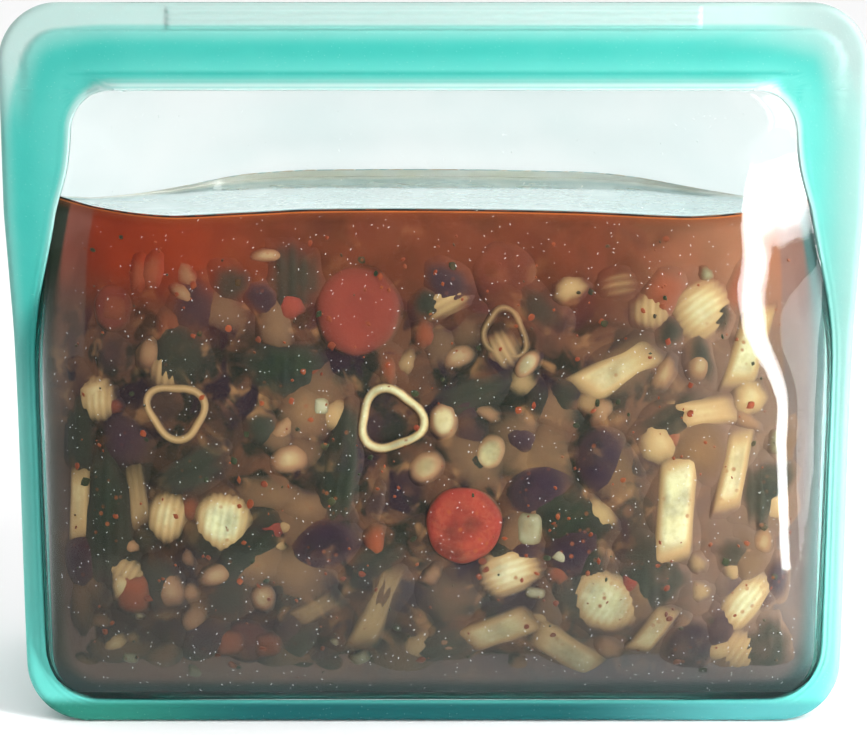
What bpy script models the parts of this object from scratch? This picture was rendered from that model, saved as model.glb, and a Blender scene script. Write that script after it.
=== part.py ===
"""A stand-up storage bag moulded in silicone, full-bellied and with its seal closed.

Two clear windows are held in a coloured frame. The frame's front and rear rims stand apart at the
floor, with a gusset between them, and meet part of the way up in one flange on each side. Along the
top, the two halves of a press seal swing away from each other to open the mouth.

X runs across the bag, -Y is its front, Z is up, and the origin is on the floor under its middle.
"""

import math

import bmesh
import bpy
from mathutils import Vector

# Driving dimensions, in metres
HEIGHT = 0.185
TOP_WIDTH = 0.2252
BASE_WIDTH = 0.212
BASE_DEPTH = 0.080
SHOULDER_HEIGHT = 0.130
MERGE_HEIGHT = 0.100
SEAM_Y = -0.008
GAP = 0.0003

# Frame
RIM_WIDTH = 0.0059
FRAME_THICKNESS = 0.0028
FLANGE_THICKNESS = 2 * FRAME_THICKNESS + GAP
CORNER_RADIUS = 0.0155
FLANGE_EDGE_ROUNDING = 0.0008
# How wide the frame is at each side, as (height, width)
SIDE_WIDTHS = (
    (0.0805, 0.0055),
    (0.0955, 0.0060),
    (0.1065, 0.0078),
    (0.1175, 0.0106),
    (0.1255, 0.0127),
    (0.1320, 0.0143),
    (0.1410, 0.0169),
    (0.1480, 0.0180),
    (0.1630, 0.0192),
)

# Windows
WALL = 0.0016
WINDOW_TOP = 0.1626
WINDOW_CORNER = 0.009
FOOT_ROUNDING = 0.030
EDGE_POWER = 6
# How far the middle of each window stands out from the seam, as (height, distance)
FRONT_BELLY = (
    (0.006, 0.0345),
    (0.020, 0.0387),
    (0.032, 0.0389),
    (0.048, 0.0372),
    (0.068, 0.0335),
    (0.092, 0.0268),
    (0.115, 0.0180),
    (0.132, 0.0125),
    (0.148, 0.0087),
    (0.163, 0.0062),
)
REAR_BELLY = (
    (0.006, 0.0495),
    (0.030, 0.0535),
    (0.055, 0.0550),
    (0.080, 0.0540),
    (0.105, 0.0500),
    (0.120, 0.0465),
    (0.132, 0.0425),
    (0.142, 0.0325),
    (0.152, 0.0190),
    (0.163, 0.0062),
)

# Gusset
GUSSET = 0.0020
WEB_TOP = 0.094
WEB_RECESS = 0.0015

# Mouth
HINGE_HEIGHT = 0.163
CREASE_HEIGHT = 0.167
LIP_HEIGHT = 0.178
MOUTH_HALF_WIDTH = 0.0925
MOUTH_CLEARANCE = 0.0004
SHOULDER_OFFSET = 0.0062
HINGE_Y_OFFSET = SHOULDER_OFFSET - WALL / 2
LIP_THICKNESS = 0.0015
RIB_DEPTH = 0.0008
RIB_HALF_HEIGHT = 0.0012
GROOVE_CLEARANCE = 0.0004
RIB_HEIGHTS = (0.1705, 0.1745)
GRIP_HALF_WIDTH = 0.0695
GRIP_HEIGHTS = (0.1798, 0.1815, 0.1832)
GRIP_RIDGE = 0.0005
GRIP_BASE = 0.0004
GRIP_HALF_HEIGHT = 0.0006

COLLECTION = "silicone_bag"


def clamped(value):
    return min(1.0, max(0.0, value))


def smooth(value):
    value = clamped(value)
    return value * value * (3 - 2 * value)


def through(points, at):
    """A smooth curve through (position, value) pairs, level beyond its ends."""
    if at <= points[0][0]:
        return points[0][1]
    if at >= points[-1][0]:
        return points[-1][1]
    last = len(points) - 1
    index = next(i for i in range(last) if at <= points[i + 1][0])
    (start, low), (end, high) = points[index], points[index + 1]

    def slope(i):
        before, after = points[max(i - 1, 0)], points[min(i + 1, last)]
        return (after[1] - before[1]) / (after[0] - before[0])

    span = end - start
    t = (at - start) / span
    rise_in, rise_out = slope(index) * span, slope(index + 1) * span
    return (
        (2 * t**3 - 3 * t**2 + 1) * low
        + (t**3 - 2 * t**2 + t) * rise_in
        + (3 * t**2 - 2 * t**3) * high
        + (t**3 - t**2) * rise_out
    )


# The bag's surfaces


def half_width(height):
    """Half of the frame's width at a height, before its corners are rounded."""
    growth = (TOP_WIDTH - BASE_WIDTH) / 2
    return BASE_WIDTH / 2 + growth * clamped(height / SHOULDER_HEIGHT)


def rim_y(height, side):
    """The middle of a rim's thickness. side is -1 for the front and 1 for the rear."""
    foot = side * (BASE_DEPTH - FRAME_THICKNESS) / 2
    head = SEAM_Y + side * (FRAME_THICKNESS + GAP) / 2
    rise = clamped(height / MERGE_HEIGHT)
    return foot + (head - foot) * (rise + smooth(rise)) / 2


def edge_path(inset, top, corner_steps=8, side_steps=12):
    """The right half of the frame's outer edge, moved in, from the middle of the floor up to a height."""
    centre_x = half_width(CORNER_RADIUS) - CORNER_RADIUS
    radius = CORNER_RADIUS - inset
    path = [(centre_x * i / 6, inset) for i in range(6)]
    for i in range(corner_steps + 1):
        angle = math.pi / 2 * i / corner_steps
        path.append((centre_x + radius * math.sin(angle), CORNER_RADIUS - radius * math.cos(angle)))
    for i in range(1, side_steps + 1):
        height = CORNER_RADIUS + (top - CORNER_RADIUS) * i / side_steps
        path.append((half_width(height) - inset, height))
    return path


def window_half_width(height):
    """Half of a window's width, with its lower corners rounded."""
    half = half_width(height) - through(SIDE_WIDTHS, height) - GAP
    above_corner = height - RIM_WIDTH - GAP
    if above_corner >= WINDOW_CORNER:
        return half
    drop = WINDOW_CORNER - max(above_corner, 0.0)
    return half - WINDOW_CORNER + math.sqrt(WINDOW_CORNER**2 - drop**2)


def window_point(side, across, height):
    """A point of a window's outer surface. across runs from -1 at its left edge to 1 at its right."""
    belly = FRONT_BELLY if side < 0 else REAR_BELLY
    edge = rim_y(height, side) + side * FRAME_THICKNESS / 2
    centre = SEAM_Y + side * through(belly, height)
    foot = clamped((height - RIM_WIDTH - GAP) / FOOT_ROUNDING)
    rise = math.sqrt(1 - (1 - foot) ** 4)
    swell = math.sqrt(max(0.0, 1 - abs(across) ** EDGE_POWER))
    return Vector((across * window_half_width(height), edge + (centre - edge) * rise * swell, height))


# Materials


def silicone(name, colour, roughness, transmission):
    material = bpy.data.materials.new(name)
    material.use_nodes = True
    shader = material.node_tree.nodes["Principled BSDF"]
    shader.inputs["Base Color"].default_value = (*colour, 1)
    shader.inputs["Roughness"].default_value = roughness
    shader.inputs["Metallic"].default_value = 0.0
    shader.inputs["Transmission Weight"].default_value = transmission
    material.diffuse_color = (*colour, 1)
    return material


# Building blocks


def add_object(name, data, material, bag):
    piece = bpy.data.objects.new(name, data)
    data.materials.append(material)
    bag.objects.link(piece)
    return piece


def mesh_object(name, mesh_data, material, bag):
    mesh = bpy.data.meshes.new(name)
    mesh_data.to_mesh(mesh)
    mesh_data.free()
    mesh.shade_smooth()
    mesh.set_sharp_from_angle(angle=math.radians(40))
    return add_object(name, mesh, material, bag)


def sheet(name, place, columns, rows, thickness, outward, material, bag):
    """An open grid laid on a surface and thickened inward. outward is a direction its faces look in."""
    grid = bmesh.new()
    bmesh.ops.create_grid(grid, x_segments=columns, y_segments=rows, size=1.0)
    for vertex in grid.verts:
        vertex.co = place(vertex.co.x, (vertex.co.y + 1) / 2)
    grid.normal_update()
    if sum(face.normal.dot(outward) for face in grid.faces) < 0:
        bmesh.ops.reverse_faces(grid, faces=grid.faces[:])
    piece = mesh_object(name, grid, material, bag)
    shell = piece.modifiers.new("Thickness", "SOLIDIFY")
    shell.thickness = thickness
    shell.offset = -1
    return piece


def band(name, path, width, thickness, material, bag, sides=12):
    """A flat bead along a path, capped at its ends. Its thickness stays as near to Y as the path allows."""
    solid = bmesh.new()
    rings = []
    for index, point in enumerate(path):
        before, after = path[max(index - 1, 0)], path[min(index + 1, len(path) - 1)]
        along = (after - before).normalized()
        depth = Vector((0, 1, 0))
        depth = (depth - along * depth.dot(along)).normalized()
        across = along.cross(depth)
        ring = []
        for step in range(sides):
            angle = 2 * math.pi * (step + 0.5) / sides
            wide = math.copysign(math.sqrt(abs(math.cos(angle))), math.cos(angle))
            thick = math.copysign(math.sqrt(abs(math.sin(angle))), math.sin(angle))
            ring.append(solid.verts.new(point + across * wide * width / 2 + depth * thick * thickness / 2))
        rings.append(ring)
    for ring, following in zip(rings, rings[1:]):
        for step in range(sides):
            after = (step + 1) % sides
            solid.faces.new((ring[step], ring[after], following[after], following[step]))
    solid.faces.new(rings[0])
    solid.faces.new(rings[-1][::-1])
    bmesh.ops.recalc_face_normals(solid, faces=solid.faces[:])
    return mesh_object(name, solid, material, bag)


def flat_outline(name, outline, half_length, material, bag):
    """A closed outline in its own XY plane, extruded both ways along its own Z."""
    curve = bpy.data.curves.new(name, "CURVE")
    curve.dimensions = "2D"
    curve.fill_mode = "BOTH"
    curve.extrude = half_length
    spline = curve.splines.new("POLY")
    spline.points.add(len(outline) - 1)
    for point, (x, y) in zip(spline.points, outline):
        point.co = (x, y, 0, 1)
    spline.use_cyclic_u = True
    return add_object(name, curve, material, bag)


def across_bag(name, profile, half_length, side, material, bag):
    """A strip with a constant profile along X. The profile's points are (distance from the seam, height)."""
    outline = [(side * distance, height) for distance, height in profile]
    piece = flat_outline(name, outline, half_length, material, bag)
    piece.location = (0, SEAM_Y, 0)
    piece.rotation_euler = (math.pi / 2, 0, math.pi / 2)
    return piece


# Sub-parts


def add_window(name, side, material, bag):
    """A clear wall that swells out of its frame. Its grid is finer towards the edges, where it turns."""
    bottom = RIM_WIDTH + GAP

    def place(across, up):
        height = bottom + (WINDOW_TOP - bottom) * (1 - math.cos(math.pi / 2 * up))
        return window_point(side, math.sin(math.pi / 2 * across), height)

    return sheet(name, place, 18, 18, WALL, Vector((0, side, 0)), material, bag)


def add_rim(name, side, material, bag):
    """The bead round a window's foot, from one side's flange down, along the floor and up to the other."""
    half = edge_path(RIM_WIDTH / 2, MERGE_HEIGHT)
    outline = [(-x, z) for x, z in reversed(half[1:])] + half
    path = [Vector((x, rim_y(z, side), z)) for x, z in outline]
    return band(name, path, RIM_WIDTH, FRAME_THICKNESS, material, bag)


def gusset_edges(height):
    """Where the gusset starts behind the front rim and ends before the rear one, at a height."""
    clear = FRAME_THICKNESS / 2 + 2 * GAP
    return rim_y(height, -1) + clear, rim_y(height, 1) - clear


def add_base_panel(material, bag):
    """The floor of the gusset, flat under the bag and turned up into both side webs."""
    outer, middle = (edge_path(inset, CORNER_RADIUS, side_steps=1)[:-1] for inset in (0.0, RIM_WIDTH / 2))
    half = [(x, z, rim_z) for (x, z), (_, rim_z) in zip(outer, middle)]
    outline = [(-x, z, rim_z) for x, z, rim_z in reversed(half[1:])] + half

    def place(across, back):
        x, z, rim_z = outline[round((across + 1) / 2 * (len(outline) - 1))]
        front, rear = gusset_edges(rim_z)
        recess = math.copysign(WEB_RECESS * smooth(z / CORNER_RADIUS), x)
        return Vector((x - recess, front + (rear - front) * back, z))

    columns = len(outline) - 1
    return sheet("base_panel", place, columns, 6, GUSSET, Vector((0, 0, -1)), material, bag)


def add_side_web(name, side, material, bag):
    """The tapering side of the gusset, between the two rims. side is -1 for the left and 1 for the right."""
    bottom = CORNER_RADIUS + GAP

    def place(across, up):
        height = bottom + (WEB_TOP - bottom) * up
        front, rear = gusset_edges(height)
        x = half_width(height) - WEB_RECESS
        return Vector((side * x, front + (rear - front) * (across + 1) / 2, height))

    return sheet(name, place, 5, 12, GUSSET, Vector((side, 0, 0)), material, bag)


def add_side_flange(name, side, material, bag):
    """The flange where both rims are one, widening towards the top."""
    bottom, top, steps = MERGE_HEIGHT + GAP, HINGE_HEIGHT - GAP, 10
    heights = [bottom + (top - bottom) * i / steps for i in range(steps + 1)]
    outer = [(half_width(z), z) for z in heights]
    inner = [(half_width(z) - through(SIDE_WIDTHS, z), z) for z in reversed(heights)]
    outline = [(side * x, z) for x, z in outer + inner]
    return add_seam_plate(name, outline, material, bag)


def add_top_corner(name, side, material, bag):
    """The rounded upper corner, in which the press seal ends."""
    bottom, steps = HINGE_HEIGHT, 8
    inner, outer = MOUTH_HALF_WIDTH + MOUTH_CLEARANCE, TOP_WIDTH / 2
    outline = [(inner, bottom), (outer, bottom)]
    for i in range(steps + 1):
        angle = math.pi / 2 * i / steps
        x = outer - CORNER_RADIUS * (1 - math.cos(angle))
        outline.append((x, HEIGHT - CORNER_RADIUS * (1 - math.sin(angle))))
    outline.append((inner, HEIGHT))
    return add_seam_plate(name, [(side * x, z) for x, z in outline], material, bag)


def add_seam_plate(name, outline, material, bag):
    """A plate in the plane of the seam, with softened edges. The outline's points are (x, height)."""
    piece = flat_outline(name, outline, FLANGE_THICKNESS / 2, material, bag)
    piece.location = (0, SEAM_Y, 0)
    piece.rotation_euler = (math.pi / 2, 0, 0)
    weld = piece.modifiers.new("Caps", "WELD")
    weld.merge_threshold = 0.00001
    bevel = piece.modifiers.new("Edges", "BEVEL")
    bevel.width = FLANGE_EDGE_ROUNDING
    bevel.segments = 2
    bevel.limit_method = "ANGLE"
    bevel.angle_limit = math.radians(60)
    return piece


def add_shoulder(name, side, material, bag):
    """The moving side of the mouth just over a window, turning in from the window to the seal."""
    inner, outer = GAP / 2, GAP / 2 + FRAME_THICKNESS
    bottom, top = HINGE_HEIGHT + GAP, CREASE_HEIGHT - GAP / 2
    profile = [
        (SHOULDER_OFFSET - WALL, bottom),
        (SHOULDER_OFFSET, bottom),
        (SHOULDER_OFFSET - 0.0006, bottom + 0.0012),
        (outer, top - 0.0006),
        (outer, top),
        (inner, top),
        (inner, top - 0.0004),
    ]
    return across_bag(name, profile, MOUTH_HALF_WIDTH, side, material, bag)


def seal_teeth(inner, grooved):
    """The points of a seal strip's inner face, upwards: two ridges, or two grooves that take them."""
    spread = GROOVE_CLEARANCE if grooved else 0.0
    sign = 1 if grooved else -1
    depth = RIB_DEPTH + (GROOVE_CLEARANCE if grooved else 0.0)
    points = []
    for height in RIB_HEIGHTS:
        points.append((inner, height - RIB_HALF_HEIGHT - spread))
        points.append((inner + sign * depth, height))
        points.append((inner, height + RIB_HALF_HEIGHT + spread))
    return points


def add_seal_strip(name, side, grooved, material, bag):
    """One half of the press seal."""
    inner, outer = GAP / 2, GAP / 2 + FRAME_THICKNESS
    bottom, top = CREASE_HEIGHT + GAP / 2, LIP_HEIGHT - GAP / 2
    round_off = 0.0005
    profile = [
        (outer, top - round_off),
        (outer, bottom + round_off),
        (outer - round_off, bottom),
        (inner, bottom),
        *seal_teeth(inner, grooved),
        (inner, top),
        (outer - round_off, top),
    ]
    return across_bag(name, profile, MOUTH_HALF_WIDTH, side, material, bag)


def lip_faces():
    """The distances of a pull lip's inner and outer face from the seam."""
    middle = GAP / 2 + FRAME_THICKNESS / 2
    return middle - LIP_THICKNESS / 2, middle + LIP_THICKNESS / 2


def add_pull_lip(name, side, material, bag):
    """The thin flap over the seal that is pinched to open the bag."""
    inner, outer = lip_faces()
    bottom, round_off = LIP_HEIGHT + GAP / 2, 0.0005
    profile = [
        (inner, bottom),
        (outer, bottom),
        (outer, HEIGHT - round_off),
        (outer - round_off, HEIGHT),
        (inner + round_off, HEIGHT),
        (inner, HEIGHT - round_off),
    ]
    return across_bag(name, profile, MOUTH_HALF_WIDTH, side, material, bag)


def add_grip_pad(name, side, material, bag):
    """The ridged patch on a pull lip, where the fingers hold it."""
    foot = lip_faces()[1] + GAP
    face = foot + GRIP_BASE
    bottom, top = GRIP_HEIGHTS[0] - 2 * GRIP_HALF_HEIGHT, GRIP_HEIGHTS[-1] + 2 * GRIP_HALF_HEIGHT
    profile = [(foot, top), (foot, bottom), (face, bottom)]
    for height in GRIP_HEIGHTS:
        profile.append((face, height - GRIP_HALF_HEIGHT))
        profile.append((face + GRIP_RIDGE, height))
        profile.append((face, height + GRIP_HALF_HEIGHT))
    profile.append((face, top))
    return across_bag(name, profile, GRIP_HALF_WIDTH, side, material, bag)


def add_hinge(name, side, pieces, bag):
    """An empty on the hinge axis of one side of the mouth, with the pieces that swing with it."""
    hinge = bpy.data.objects.new(name, None)
    hinge.location = (0, SEAM_Y + side * HINGE_Y_OFFSET, HINGE_HEIGHT)
    hinge.empty_display_size = 0.02
    bag.objects.link(hinge)
    bpy.context.view_layer.update()
    for piece in pieces:
        piece.parent = hinge
        piece.matrix_parent_inverse = hinge.matrix_world.inverted()


def add_mouth(where, side, grooved, frame, lip, bag):
    """One side of the mouth: its shoulder, its half of the seal, its lip and the grip on the lip."""
    pieces = [
        add_shoulder(f"{where}_shoulder", side, frame, bag),
        add_seal_strip(f"{where}_seal_strip", side, grooved, frame, bag),
        add_pull_lip(f"{where}_pull_lip", side, lip, bag),
        add_grip_pad(f"{where}_grip_pad", side, lip, bag),
    ]
    add_hinge(f"{where}_mouth_hinge", side, pieces, bag)


def clear_scene():
    for old in list(bpy.data.objects):
        bpy.data.objects.remove(old, do_unlink=True)


def main():
    clear_scene()
    bag = bpy.data.collections.new(COLLECTION)
    bpy.context.scene.collection.children.link(bag)
    frame = silicone("aqua_frame_silicone", (0.06, 0.60, 0.52), 0.35, 0.3)
    gusset = silicone("aqua_gusset_silicone", (0.10, 0.62, 0.56), 0.40, 0.5)
    lip = silicone("pale_lip_silicone", (0.55, 0.85, 0.80), 0.40, 0.4)
    window = silicone("clear_window_silicone", (0.80, 0.92, 0.90), 0.12, 0.9)

    add_window("front_window", -1, window, bag)
    add_window("rear_window", 1, window, bag)
    add_rim("front_rim", -1, frame, bag)
    add_rim("rear_rim", 1, frame, bag)
    add_base_panel(gusset, bag)
    for where, side in (("left", -1), ("right", 1)):
        add_side_web(f"{where}_side_web", side, gusset, bag)
        add_side_flange(f"{where}_side_flange", side, frame, bag)
        add_top_corner(f"{where}_top_corner", side, frame, bag)
    add_mouth("front", -1, True, frame, lip, bag)
    add_mouth("rear", 1, False, frame, lip, bag)


main()
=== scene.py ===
"""The looks of a stand-up silicone storage bag holding vegetable soup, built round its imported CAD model.

Everything is in metres, in the CAD's own frame: X runs across the bag, -Y is its front, Z is up, and
the origin is on the floor. The bag's surfaces are height fields over the plane of its seam, with the
same driving sizes as the CAD. The soup and the food in it fill the bag's hollow and ride on its body.
"""

import math
import random

import bmesh
import bpy
import numpy as np
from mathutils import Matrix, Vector


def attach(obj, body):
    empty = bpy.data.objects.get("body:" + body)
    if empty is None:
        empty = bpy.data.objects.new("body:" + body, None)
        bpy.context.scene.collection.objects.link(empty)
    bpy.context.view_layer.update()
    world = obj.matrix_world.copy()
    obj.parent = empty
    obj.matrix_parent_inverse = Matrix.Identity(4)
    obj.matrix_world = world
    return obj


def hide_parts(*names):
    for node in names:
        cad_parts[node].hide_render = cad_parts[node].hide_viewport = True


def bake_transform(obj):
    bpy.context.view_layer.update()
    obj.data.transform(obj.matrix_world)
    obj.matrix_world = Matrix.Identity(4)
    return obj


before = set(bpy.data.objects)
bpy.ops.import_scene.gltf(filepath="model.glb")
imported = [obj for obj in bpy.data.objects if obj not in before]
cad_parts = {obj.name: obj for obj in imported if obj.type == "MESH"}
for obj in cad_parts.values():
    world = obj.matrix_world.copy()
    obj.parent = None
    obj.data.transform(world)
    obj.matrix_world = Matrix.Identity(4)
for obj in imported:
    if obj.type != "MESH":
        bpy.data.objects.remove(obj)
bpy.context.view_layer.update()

# The CAD's driving sizes
HEIGHT = 0.185
TOP_WIDTH = 0.2252
BASE_WIDTH = 0.212
BASE_DEPTH = 0.080
SHOULDER_HEIGHT = 0.130
MERGE_HEIGHT = 0.100
SEAM_Y = -0.008
GAP = 0.0003
RIM_WIDTH = 0.0059
FRAME_THICKNESS = 0.0028
CORNER_RADIUS = 0.0155
SIDE_WIDTHS = (
    (0.0805, 0.0055), (0.0955, 0.0060), (0.1065, 0.0078), (0.1175, 0.0106), (0.1255, 0.0127),
    (0.1320, 0.0143), (0.1410, 0.0169), (0.1480, 0.0180), (0.1630, 0.0192),
)
WALL = 0.0016
FOOT_ROUNDING = 0.030
FRONT_BELLY = (
    (0.006, 0.0345), (0.020, 0.0387), (0.032, 0.0389), (0.048, 0.0372), (0.068, 0.0335),
    (0.092, 0.0268), (0.115, 0.0180), (0.132, 0.0125), (0.148, 0.0087), (0.163, 0.0062),
)
REAR_BELLY = (
    (0.006, 0.0495), (0.030, 0.0535), (0.055, 0.0550), (0.080, 0.0540), (0.105, 0.0500),
    (0.120, 0.0465), (0.132, 0.0425), (0.142, 0.0325), (0.152, 0.0190), (0.163, 0.0062),
)
WEB_TOP = 0.094
HINGE_HEIGHT = 0.163
LIP_HEIGHT = 0.178
GRIP_HALF_WIDTH = 0.0695
GRIP_HEIGHTS = (0.1798, 0.1815, 0.1832)

# Details that only the visual model has: the windows' corner radii and how far the clear walls are tucked
# into the frame, where the moving mouth ends at the hinge and above it, the lip's step, the thickness of
# the folded floor and sides, and the soup's level
WINDOW_CORNERS = (0.0138, 0.0110)
TUCK = 0.0012
CUT_START = 0.0821
CUT_HALF_WIDTH = 0.0925
LIP_STEP = 0.00065
GUSSET = 0.0018
SOUP_LEVEL = 0.1325

# Relief on the frame. The lip's step and groove lie in from the outline, the ridges and the bevel lie out
# from the window, and each ridge has its place, half width and height.
LIP_EDGE = 0.0066
GROOVE_DEPTH = 0.0179
GROOVE = (GROOVE_DEPTH, 0.0007, 0.00022)
WINDOW_RIDGES = ((0.0006, 0.0006, 0.00020), (0.0019, 0.0005, 0.00014))
BEVEL_WIDTH, BEVEL_DEPTH = 0.0007, 0.0006
ROUNDED_WIDTH, THINNEST = 0.0024, 0.28
GRIP_PATCH = (0.1783, 0.1843)
GRIP_RELIEF, GRIP_RIDGE, GRIP_FADE = 0.0004, 0.00065, 0.0016

# The front's upper flanks, as (height, sideways slope). The rear's take up a share of its half width.
FRONT_SLOPES = (
    (0.100, 0.58), (0.112, 0.50), (0.122, 0.44), (0.132, 0.41), (0.146, 0.42),
    (0.155, 0.66), (0.163, 0.42),
)
REAR_FLANK = 0.46

RIGHT, DEEP, UP = 0, 1, 2


# Curves and distances


def smooth(value):
    """A ramp from 0 to 1 that starts and ends level."""
    value = np.clip(value, 0, 1)
    return value * value * (3 - 2 * value)


def through(points, at):
    """A smooth curve through (position, value) pairs, level beyond its ends."""
    places, values = np.transpose(points)
    last = len(points) - 1
    before, after = np.maximum(np.arange(last + 1) - 1, 0), np.minimum(np.arange(last + 1) + 1, last)
    slopes = (values[after] - values[before]) / (places[after] - places[before])
    at = np.clip(at, places[0], places[-1])
    low = np.clip(np.searchsorted(places, at, side="right") - 1, 0, last - 1)
    span = places[low + 1] - places[low]
    t = (at - places[low]) / span
    return (
        (2 * t**3 - 3 * t**2 + 1) * values[low]
        + (t**3 - 2 * t**2 + t) * span * slopes[low]
        + (3 * t**2 - 2 * t**3) * values[low + 1]
        + (t**3 - t**2) * span * slopes[low + 1]
    )


def half_width(height):
    """Half of the bag's width at a height, before its corners are rounded."""
    growth = (TOP_WIDTH - BASE_WIDTH) / 2
    return BASE_WIDTH / 2 + growth * np.clip(height / SHOULDER_HEIGHT, 0, 1)


def window_side(height):
    """Half of the window's width at a height, before its corners are rounded."""
    return half_width(height) - through(SIDE_WIDTHS, height)


def box_distance(x, z, half, bottom, top, bottom_radius, top_radius):
    """The distance out from a box with rounded corners in the plane of the seam. It is negative inside."""
    middle = (bottom + top) / 2
    radius = np.where(z > middle, top_radius, bottom_radius)
    beyond_x = np.abs(x) - half + radius
    beyond_z = np.abs(z - middle) - (top - bottom) / 2 + radius
    outside = np.hypot(np.maximum(beyond_x, 0), np.maximum(beyond_z, 0))
    return outside + np.minimum(np.maximum(beyond_x, beyond_z), 0) - radius


def from_outline(x, z):
    """The distance in from the bag's outline."""
    return -box_distance(x, z, half_width(z), 0, HEIGHT, CORNER_RADIUS, CORNER_RADIUS)


def from_window(x, z):
    """The distance out from the edge of the windows."""
    return box_distance(x, z, window_side(z), RIM_WIDTH, HINGE_HEIGHT, *WINDOW_CORNERS)


def corner_inset(distance, radius):
    """How far a rounded corner draws a side in, at a distance from that side's end."""
    short = radius - np.clip(distance, 0, radius)
    return radius - np.sqrt(np.maximum(radius**2 - short**2, 0))


def rim_y(height, side):
    """The middle of a rim's thickness. side is -1 for the front and 1 for the rear."""
    foot = side * (BASE_DEPTH - FRAME_THICKNESS) / 2
    head = SEAM_Y + side * (FRAME_THICKNESS + GAP) / 2
    rise = np.clip(height / MERGE_HEIGHT, 0, 1)
    return foot + (head - foot) * (rise + smooth(rise)) / 2


# The clear walls


def window_half(height):
    """Half of a clear wall's width, which ends a little way inside the frame."""
    lower, upper = WINDOW_CORNERS
    side = window_side(height) + TUCK
    side = side - corner_inset(height - RIM_WIDTH + TUCK, lower)
    return side - corner_inset(HINGE_HEIGHT + TUCK - height, upper)


def swell(side, across, height):
    """How much of the belly a clear wall has, from 0 at its side edges to 1: flat flanks higher up."""
    across = np.clip(np.abs(across) * 1.012, 0, 1)
    steep = np.sqrt(np.maximum(1 - across**7, 0))
    climb = (1 - across) / REAR_FLANK
    if side < 0:
        rise = window_side(height) / (through(FRONT_BELLY, height) - FRAME_THICKNESS)
        climb = (1 - across) * through(FRONT_SLOPES, height) * rise
    bluntness = 0.6 - 0.3 * smooth((height - 0.115) / 0.020)
    knee = np.clip(0.5 + 0.5 * (1 - climb) / bluntness, 0, 1)
    flank = np.maximum(1 + (climb - 1) * knee - bluntness * knee * (1 - knee), 0)
    return steep + (flank - steep) * smooth((height - 0.084) / 0.038)


def wall_point(side, across, height):
    """Points of a clear wall's outer face. across runs from -1 at its left edge to 1 at its right."""
    across, height = np.broadcast_arrays(np.asarray(across, float), np.asarray(height, float))
    belly = through(FRONT_BELLY if side < 0 else REAR_BELLY, height)
    edge = side * (rim_y(height, side) - SEAM_Y) + FRAME_THICKNESS / 2 - GAP
    foot = np.clip((height - RIM_WIDTH) / FOOT_ROUNDING, 0, 1)
    rise = np.sqrt(1 - (1 - foot) ** 4)
    offset = edge + (belly - edge) * rise * swell(side, across, height)
    return np.stack([across * window_half(height), SEAM_Y + side * offset, height], -1)


def wall_normal(side, across, height):
    """The outward directions of a clear wall."""
    step, rise = 0.004, 0.0004
    right = wall_point(side, np.minimum(across + step, 1), height)
    left = wall_point(side, np.maximum(across - step, -1), height)
    above, below = wall_point(side, across, height + rise), wall_point(side, across, height - rise)
    normal = -side * np.cross(right - left, above - below)
    return normal / np.maximum(np.linalg.norm(normal, axis=-1, keepdims=True), 1e-12)


def inside_wall(side, across, height, depth):
    """Points at a depth under a clear wall's outer face."""
    depth = np.asarray(depth)[..., None]
    return wall_point(side, across, height) - wall_normal(side, across, height) * depth


# Mesh building


def new_object(name, vertices, faces, smooth_angle=40):
    """A mesh object with its faces turned outwards, smooth but for edges sharper than an angle."""
    mesh = bpy.data.meshes.new(name)
    mesh.from_pydata([tuple(v) for v in vertices], [], faces)
    piece = bpy.data.objects.new(name, mesh)
    bpy.context.scene.collection.objects.link(piece)
    solid = bmesh.new()
    solid.from_mesh(mesh)
    bmesh.ops.recalc_face_normals(solid, faces=solid.faces[:])
    solid.to_mesh(mesh)
    solid.free()
    mesh.shade_smooth()
    mesh.set_sharp_from_angle(angle=math.radians(smooth_angle))
    return piece


def grid_faces(rows, columns, start=0, wrap=False):
    """Quads over a grid of vertices numbered row by row. With wrap, each row closes on itself."""
    faces = []
    for row in range(rows - 1):
        for column in range(columns if wrap else columns - 1):
            here, right = row * columns + column, row * columns + (column + 1) % columns
            faces.append((start + here, start + right, start + right + columns, start + here + columns))
    return faces


def border(rows, columns):
    """The vertex numbers round the edge of a grid, in order."""
    top = [(rows - 1) * columns + c for c in range(columns - 1, 0, -1)]
    right = [r * columns + columns - 1 for r in range(rows - 1)]
    left = [r * columns for r in range(rows - 1, 0, -1)]
    return list(range(columns - 1)) + right + top + left


def thick_sheet(name, outer, inner, smooth_angle=40):
    """A closed solid between two grids of points with the same rows and columns."""
    rows, columns = outer.shape[:2]
    count = rows * columns
    faces = grid_faces(rows, columns)
    faces += [face[::-1] for face in grid_faces(rows, columns, count)]
    ring = border(rows, columns)
    for here, following in zip(ring, ring[1:] + ring[:1]):
        faces.append((following, here, here + count, following + count))
    vertices = np.concatenate([outer.reshape(-1, 3), inner.reshape(-1, 3)])
    return new_object(name, vertices, faces, smooth_angle)


def set_attribute(piece, name, values):
    """Stores one number a vertex, for the piece's material to read."""
    values = np.asarray(values, np.float32).reshape(-1)
    attribute = piece.data.attributes.new(name, "FLOAT", "POINT")
    attribute.data.foreach_set("value", values)


def both_faces(values):
    """A grid's values, for both faces of its thick sheet."""
    return np.concatenate([np.ravel(values), np.ravel(values)])


def eased(count, power=1.0):
    """Positions from 0 to 1, closer together towards both ends."""
    even = np.linspace(0, 1, count)
    return even + power * (smooth(even) - even)


# Material building

# A Mix node's factor and its two colours among its inputs, and its colour among its outputs
MIX_SOCKETS = (0, 6, 7)
MIX_RESULT = 2


def srgb(red, green, blue):
    """A linear colour, from 0 to 255 in each screen channel."""
    def linear(value):
        value /= 255
        return value / 12.92 if value <= 0.04045 else ((value + 0.055) / 1.055) ** 2.4

    return (linear(red), linear(green), linear(blue), 1.0)


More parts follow.
